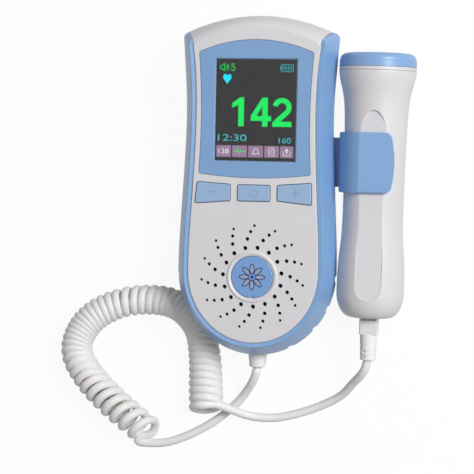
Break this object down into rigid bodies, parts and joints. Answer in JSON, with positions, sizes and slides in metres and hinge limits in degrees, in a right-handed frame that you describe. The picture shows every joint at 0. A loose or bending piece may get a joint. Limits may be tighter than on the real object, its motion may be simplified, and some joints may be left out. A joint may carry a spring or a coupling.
{
  "type": "fetal doppler monitor",
  "caption": "Handheld fetal doppler monitor lying on its back: screen, keys and speaker in a blue-rimmed white housing, with a side clip holding the probe and a curly lead to it.",
  "frame": {"origin": "middle of the main unit's flat back, on the surface that the unit lies on", "axes": "+Z out of the unit's face, +Y towards its top end above the screen, +X towards the probe in its clip"},
  "size_m": [0.1581, 0.1926, 0.0341],
  "materials": {
    "white_shell": "satin white shell",
    "blue_shell": "satin light blue",
    "blue_panel": "matte grey blue",
    "button_blue": "matte pale blue",
    "window_glass": "clear window",
    "display_dark": "dark display",
    "medallion_face": "blue with a grey and dark blue pattern",
    "steel": "plated",
    "gold_contact": "gold plated",
    "cell_jacket": "plain jacket",
    "board_green": "green board",
    "keypad_rubber": "soft",
    "speaker_metal": "black",
    "speaker_paper": "pressed paper",
    "black_plastic": "black",
    "ceramic": "ceramic",
    "cord_white": "smooth white",
    "plug_white": "satin"
  },
  "bodies": {
    "unit": {"batteries": "cell_jacket", "battery_contacts": "steel", "board_screws": "steel", "clip_screws": "steel", "cord_boot": "cord_white", "cord_coil": "cord_white", "cord_probe_lead": "cord_white", "cord_unit_lead": "cord_white", "display_window": "window_glass", "front_housing": "white_shell", "housing_screws": "steel", "keypad": "keypad_rubber", "lcd_module": "display_dark", "main_board": "board_green", "medallion": "medallion_face", "probe_clip": "blue_shell", "rear_housing": "white_shell", "screen_bezel": "blue_panel", "side_bumper": "blue_shell", "speaker_cone": "speaker_paper", "speaker_frame": "speaker_metal", "speaker_gasket": "keypad_rubber"},
    "minus_key": {"minus_button": "button_blue"},
    "power_key": {"power_button": "button_blue"},
    "plus_key": {"plus_button": "button_blue"},
    "door": {"battery_door": "white_shell"},
    "probe": {"probe_front_shell": "white_shell", "probe_rear_shell": "white_shell", "probe_cap": "blue_shell", "cap_ring": "white_shell", "crystals": "ceramic", "crystal_holder": "black_plastic", "probe_board": "board_green", "probe_screws": "steel", "probe_socket": "black_plastic", "plug_body": "plug_white", "plug_contacts": "gold_contact", "plug_boot": "plug_white"}
  },
  "joints": [
    {"name": "minus_press", "type": "slide", "parent": "unit", "child": "minus_key", "axis": [0, 0, -1], "range_m": [0, 0.0008], "stiffness_N_per_m": 900, "springref_m": -0.0005},
    {"name": "power_press", "type": "slide", "parent": "unit", "child": "power_key", "axis": [0, 0, -1], "range_m": [0, 0.0008], "stiffness_N_per_m": 900, "springref_m": -0.0005},
    {"name": "plus_press", "type": "slide", "parent": "unit", "child": "plus_key", "axis": [0, 0, -1], "range_m": [0, 0.0008], "stiffness_N_per_m": 900, "springref_m": -0.0005},
    {"name": "battery_door_slide", "type": "slide", "parent": "unit", "child": "door", "axis": [0, 1, 0], "range_m": [0, 0.012]},
    {"name": "probe_slide", "type": "slide", "parent": "unit", "child": "probe", "axis": [1, 0, 0], "range_m": [0, 0.024]}
  ]
}
